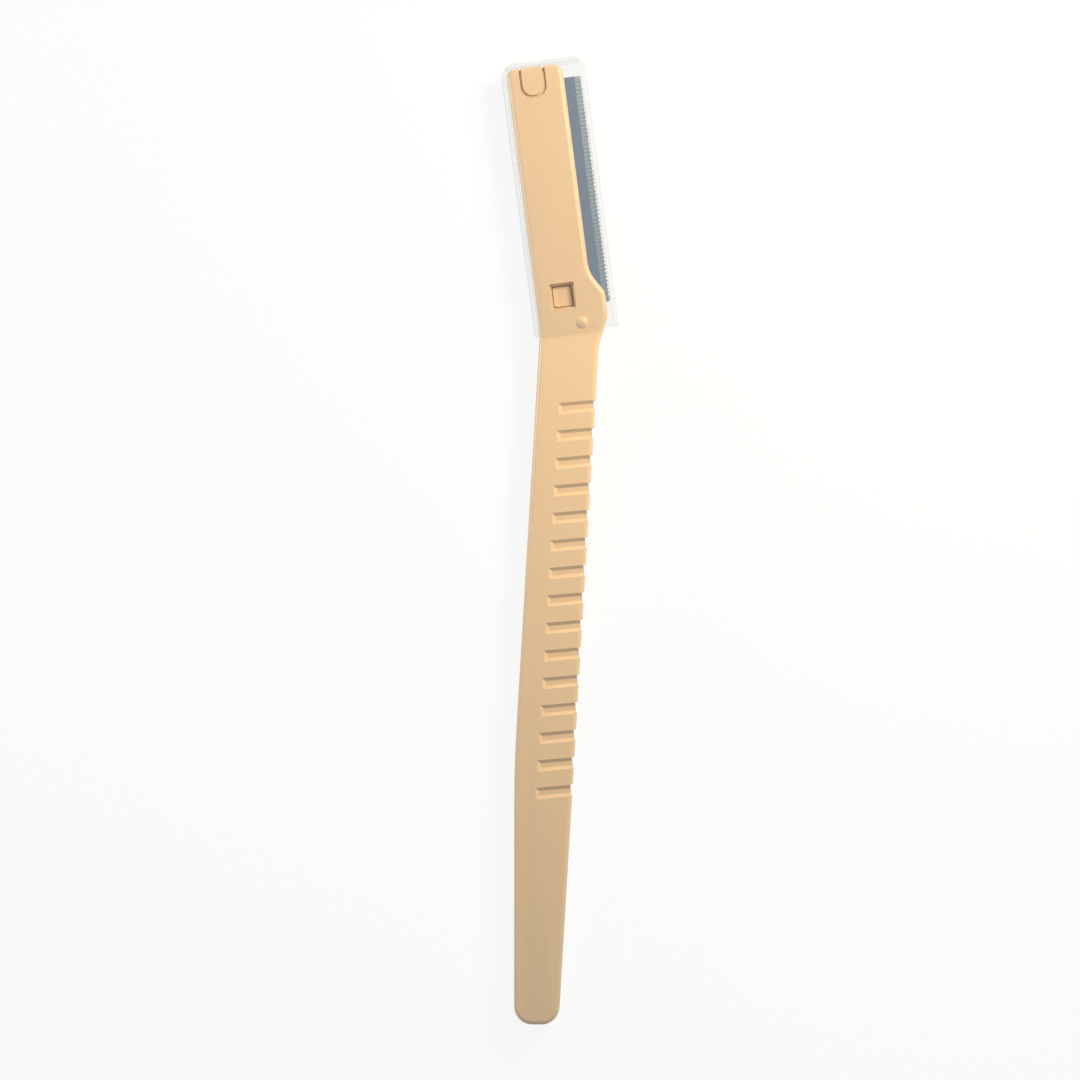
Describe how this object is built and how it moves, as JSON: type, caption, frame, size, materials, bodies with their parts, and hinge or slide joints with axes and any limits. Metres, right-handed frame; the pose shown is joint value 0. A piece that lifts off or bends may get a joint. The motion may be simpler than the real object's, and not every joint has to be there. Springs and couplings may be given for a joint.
{
  "type": "eyebrow razor",
  "caption": "Slim moulded eyebrow razor with an angled head, a steel strip blade behind a folded comb guard, finger grooves along the grip and a clear slip-on cap.",
  "frame": {"origin": "on the surface that the razor lies on, under the middle of its bounding box", "axes": "+Y along the straight grip from the butt to the head, +X towards the blade's side, +Z out of the front face with the razor lying on its back"},
  "size_m": [0.0206, 0.1518, 0.0061],
  "materials": {
    "peach_plastic": "peach moulded plastic with a fine satin texture",
    "ground_steel": "ground stainless strip with a bright bevel",
    "guard_foil": "thin rolled stainless foil",
    "clear_plastic": "clear glossy moulding"
  },
  "bodies": {
    "razor": {"handle": "peach_plastic", "blade_plate": "peach_plastic", "blade": "ground_steel", "blade_guard": "guard_foil"},
    "cap": {"cap": "clear_plastic"}
  },
  "joints": [
    {"name": "cap_slide", "type": "slide", "parent": "razor", "child": "cap", "axis": [-0.1865, 0.9825, 0], "range_m": [0, 0.045]}
  ]
}
